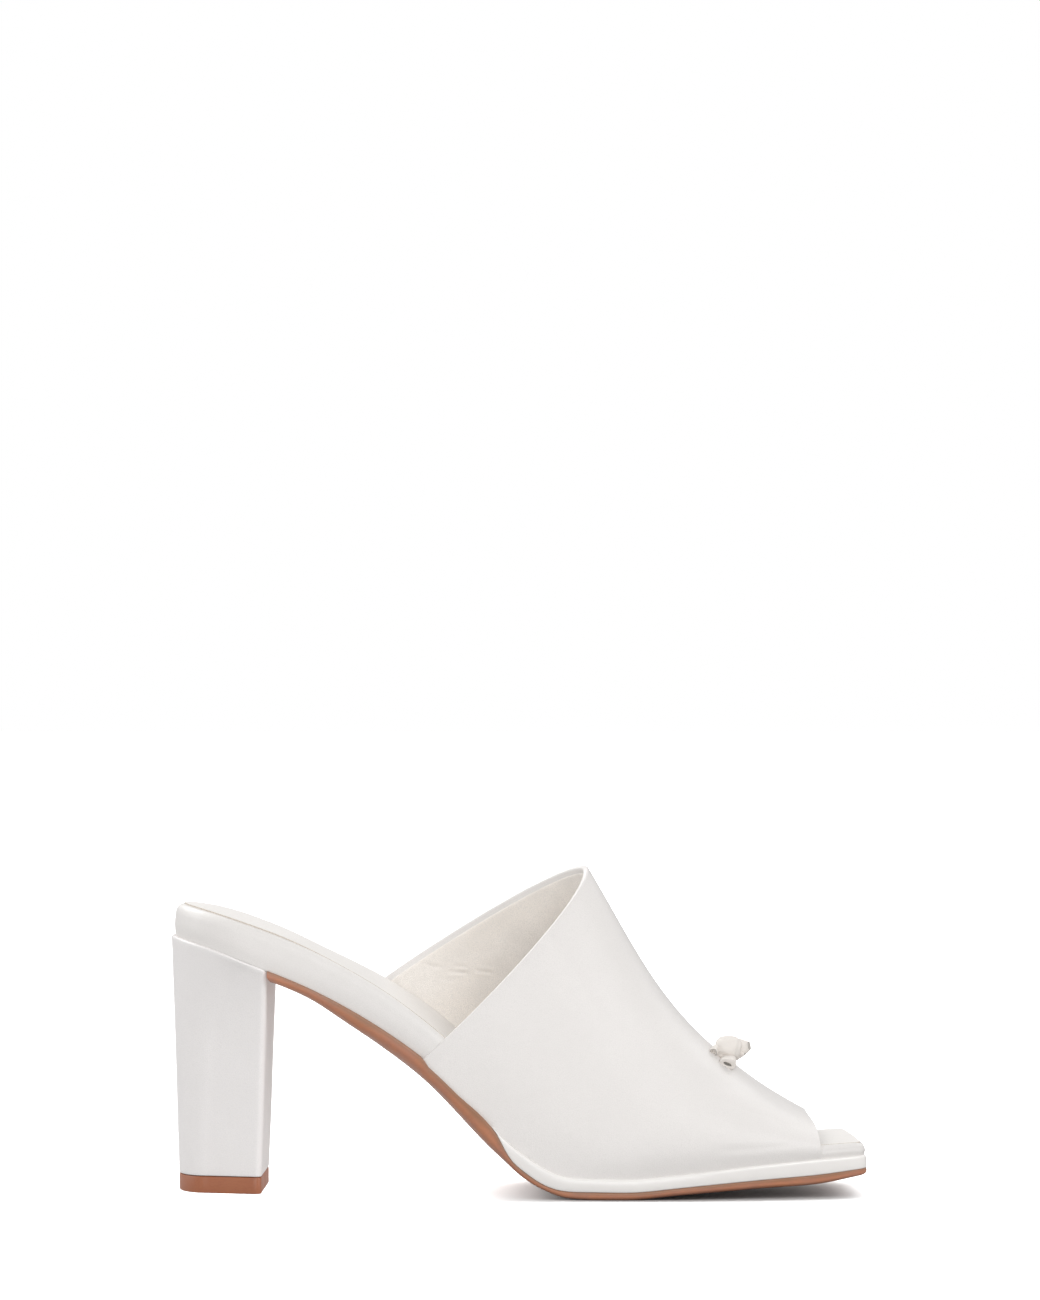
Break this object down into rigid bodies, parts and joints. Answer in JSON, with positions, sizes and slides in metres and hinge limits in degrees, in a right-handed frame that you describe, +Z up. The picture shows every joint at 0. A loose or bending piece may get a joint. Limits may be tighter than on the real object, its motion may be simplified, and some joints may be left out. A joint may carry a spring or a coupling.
{
  "type": "slide sandal",
  "caption": "Open-toed, open-backed mule for the right foot: one wide leather band with a small knot, padded footbed, tan sole and tall block heel.",
  "frame": {"origin": "on the floor under the middle of the sandal's box", "axes": "+X towards the toe, +Y towards the inner side of the right foot, +Z up"},
  "size_m": [0.2248, 0.0792, 0.1049],
  "materials": {
    "upper": "smooth off-white leather, satin, with a beige lining",
    "footbed": "padded footbed wrapped in off-white leather, satin",
    "midsole": "bright white edge strip, semi-gloss",
    "outsole": "tan sole, smooth satin edge",
    "heel": "off-white leather cover, satin",
    "heel_tip": "tan top piece, satin",
    "knot": "off-white strip with raw beige cut edges"
  },
  "bodies": {
    "root": {"upper": "upper", "footbed": "footbed", "midsole": "midsole", "outsole": "outsole", "heel": "heel", "heel_tip": "heel_tip", "knot": "knot"}
  },
  "joints": []
}
